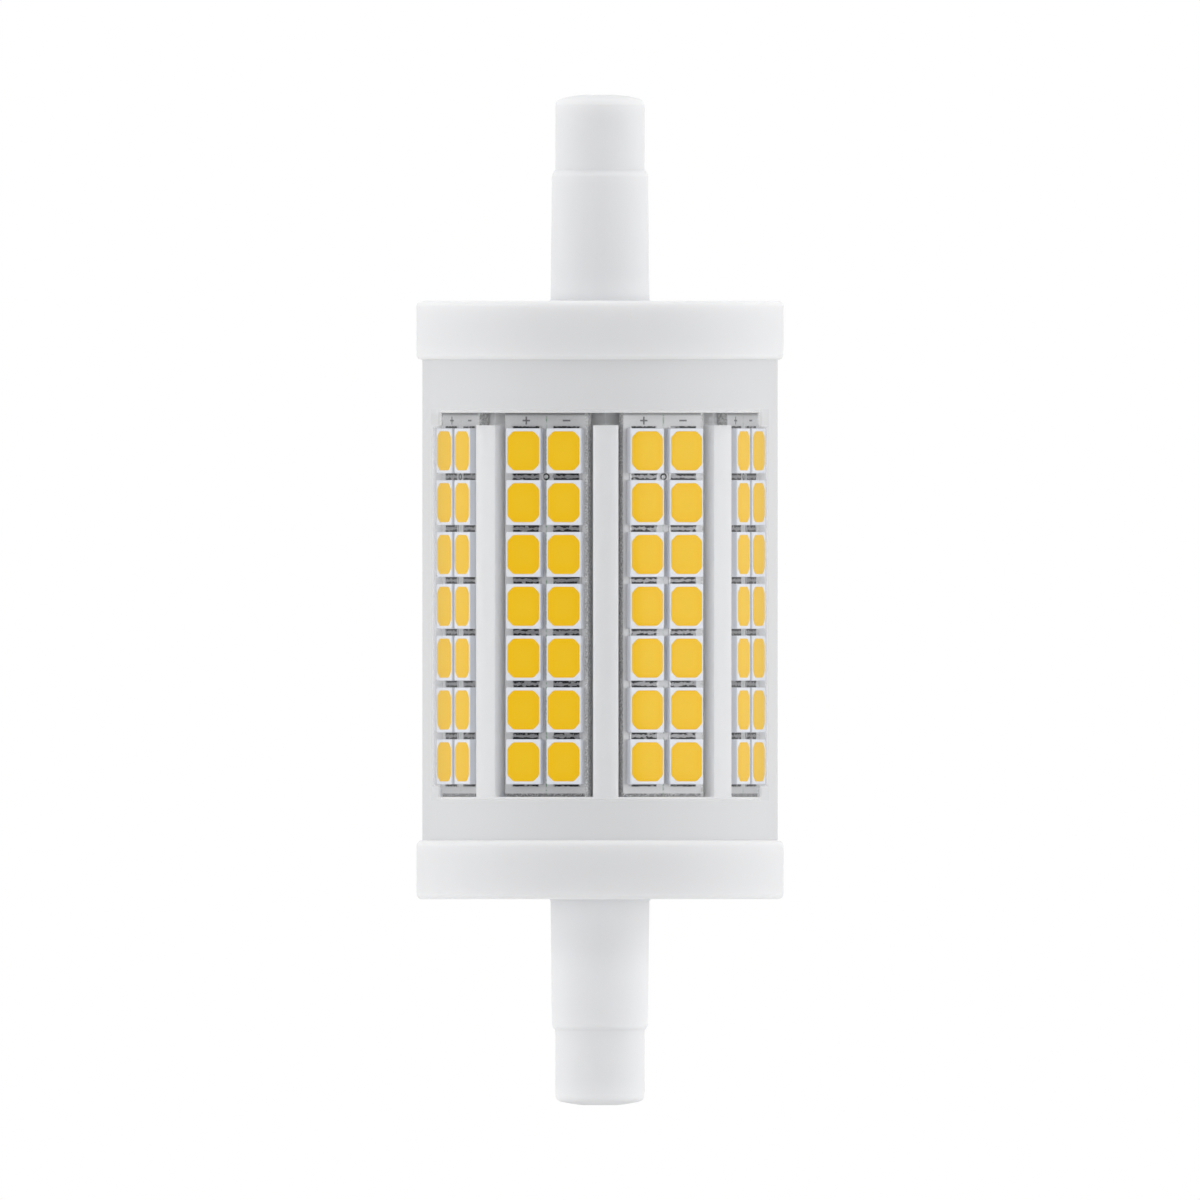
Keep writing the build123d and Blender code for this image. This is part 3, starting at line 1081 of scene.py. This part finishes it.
class BULB_OT_driver(bpy.types.Operator):
    """Finish the driver board and its parts inside the carrier"""

    bl_idname = "bulb.driver"
    bl_label = "Driver"

    def execute(self, context):
        finishes = {
            "link_board": plain_case((0.62, 0.63, 0.62), 0.45, 5),
            "driver_board": plain_case((0.02, 0.09, 0.03), 0.4, 5),
            "fuse": plain_case((0.02, 0.02, 0.022), 0.35, 8),
            "smoothing_capacitor": plain_case((0.012, 0.014, 0.02), 0.3, 3),
            "film_capacitor": plain_case((0.52, 0.34, 0.04), 0.35, 6),
            "bridge_rectifier": plain_case((0.014, 0.014, 0.015), 0.55, 10),
            "driver_chip": plain_case((0.014, 0.014, 0.015), 0.55, 10),
            "choke": plain_case((0.03, 0.03, 0.032), 0.6, 7),
            "upper_lead": plain_case((0.5, 0.48, 0.44), 0.3, 4, 1.0),
            "lower_lead": plain_case((0.5, 0.48, 0.44), 0.3, 4, 1.0),
        }
        for name, paint in finishes.items():
            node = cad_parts[name]
            node.material_slots[0].material = material(paint, f"{name}_finish")
        return {"FINISHED"}


class BULB_OT_stage(bpy.types.Operator):
    """Set up the pale floor, the soft lamps, the white surround and the camera"""

    bl_idname = "bulb.stage"
    bl_label = "Stage"

    def floor(self, stage):
        bm = bmesh.new()
        level = Matrix.Translation((0, 0, CAD_BOX[0][2] - stage.floor_gap))
        bmesh.ops.create_circle(bm, cap_ends=True, segments=64, radius=stage.floor_radius, matrix=level)
        mesh = bpy.data.meshes.new("floor")
        bm.to_mesh(mesh)
        bm.free()
        mesh.materials.append(material(floor_white))
        floor = bpy.data.objects.new("floor", mesh)
        bpy.context.scene.collection.objects.link(floor)

    def lamp(self, name, place, size, power, lights=True, mirrored=False):
        """Soft lamp aimed at the middle, which lights surfaces, is mirrored in them, or both."""
        lamp = bpy.data.lights.new(name, "AREA")
        lamp.shape = "RECTANGLE"
        lamp.size, lamp.size_y = size
        lamp.energy = power
        holder = bpy.data.objects.new(name, lamp)
        holder.location = place
        holder.rotation_euler = (-place).to_track_quat("-Z", "Y").to_euler()
        holder.visible_camera = False
        holder.visible_diffuse = lights
        holder.visible_glossy = mirrored
        bpy.context.scene.collection.objects.link(holder)

    def beside(self, distance, azimuth, height):
        """Place of a lamp beside the bulb, at an angle from the front."""
        return Vector((distance * math.sin(azimuth), -distance * math.cos(azimuth), height))

    def surround(self, stage):
        """Even light, and plain white for what the camera sees directly, mirrored or through the tube."""
        world = bpy.data.worlds.new("surround")
        nodes = Nodes(world)
        path = {
            name: nodes.make("ShaderNodeLightPath", output=name)
            for name in ("Is Camera Ray", "Is Glossy Ray", "Is Transmission Ray")
        }
        seen = path["Is Camera Ray"].larger(path["Is Glossy Ray"]).larger(path["Is Transmission Ray"])
        strength = stage.room_light + seen * (1 - stage.room_light)
        white = nodes.make("ShaderNodeBackground", None, {"Strength": strength, "Color": (1, 1, 1, 1)})
        nodes.surface(white, "ShaderNodeOutputWorld")
        bpy.context.scene.world = world

    def camera(self, stage):
        camera = bpy.data.cameras.new("camera")
        camera.type = "ORTHO"
        camera.ortho_scale = stage.frame_width
        holder = bpy.data.objects.new("camera", camera)
        azimuth = stage.view_azimuth
        holder.location = stage.camera_distance * Vector((math.sin(azimuth), -math.cos(azimuth), 0))
        holder.rotation_euler = (math.pi / 2, 0, azimuth)
        bpy.context.scene.collection.objects.link(holder)
        bpy.context.scene.camera = holder

    def execute(self, context):
        stage = context.scene.bulb_stage
        self.floor(stage)
        left = self.beside(stage.lamp_distance, -stage.side_angle, stage.side_height)
        right = self.beside(stage.lamp_distance, stage.side_angle, stage.side_height)
        above = Vector((0, -stage.top_forward, stage.top_height))
        card = self.beside(stage.lamp_distance, stage.card_angle, 0)
        card_size = (stage.card_width, stage.card_height)
        self.lamp("left_lamp", left, (stage.side_width, stage.side_width), stage.left_light)
        self.lamp("right_lamp", right, (stage.side_width, stage.side_width), stage.right_light)
        self.lamp("top_lamp", above, (stage.top_width, stage.top_width), stage.top_light)
        self.lamp("card", card, card_size, stage.card_light, lights=False, mirrored=True)
        self.surround(stage)
        self.camera(stage)
        context.scene.view_settings.view_transform = "Standard"
        return {"FINISHED"}


OPERATORS = (
    BULB_OT_end_caps,
    BULB_OT_contacts,
    BULB_OT_clear_tube,
    BULB_OT_carrier,
    BULB_OT_strip_boards,
    BULB_OT_led_packages,
    BULB_OT_led_phosphors,
    BULB_OT_solder_joints,
    BULB_OT_driver,
    BULB_OT_stage,
)


class BULB_PT_pieces(bpy.types.Panel):
    """Lists the steps that dress the lamp"""

    bl_idname = "BULB_PT_pieces"
    bl_label = "LED bulb"
    bl_space_type = "VIEW_3D"
    bl_region_type = "UI"
    bl_category = "LED bulb"

    def draw(self, context):
        for operator in OPERATORS:
            self.layout.operator(operator.bl_idname)


GROUPS = {
    "bulb_caps": CapSizes,
    "bulb_strips": StripSizes,
    "bulb_finishes": Finishes,
    "bulb_stage": StageSizes,
}


def register():
    for cls in (*GROUPS.values(), *OPERATORS, BULB_PT_pieces):
        bpy.utils.register_class(cls)
    for name, group in GROUPS.items():
        setattr(bpy.types.Scene, name, PointerProperty(type=group))


def unregister():
    for name in GROUPS:
        delattr(bpy.types.Scene, name)
    for cls in (BULB_PT_pieces, *reversed(OPERATORS), *reversed(GROUPS.values())):
        bpy.utils.unregister_class(cls)


def main():
    register()
    for operator in OPERATORS:
        step = operator.bl_idname.split(".")[1]
        getattr(bpy.ops.bulb, step)()


if __name__ == "__main__":
    main()
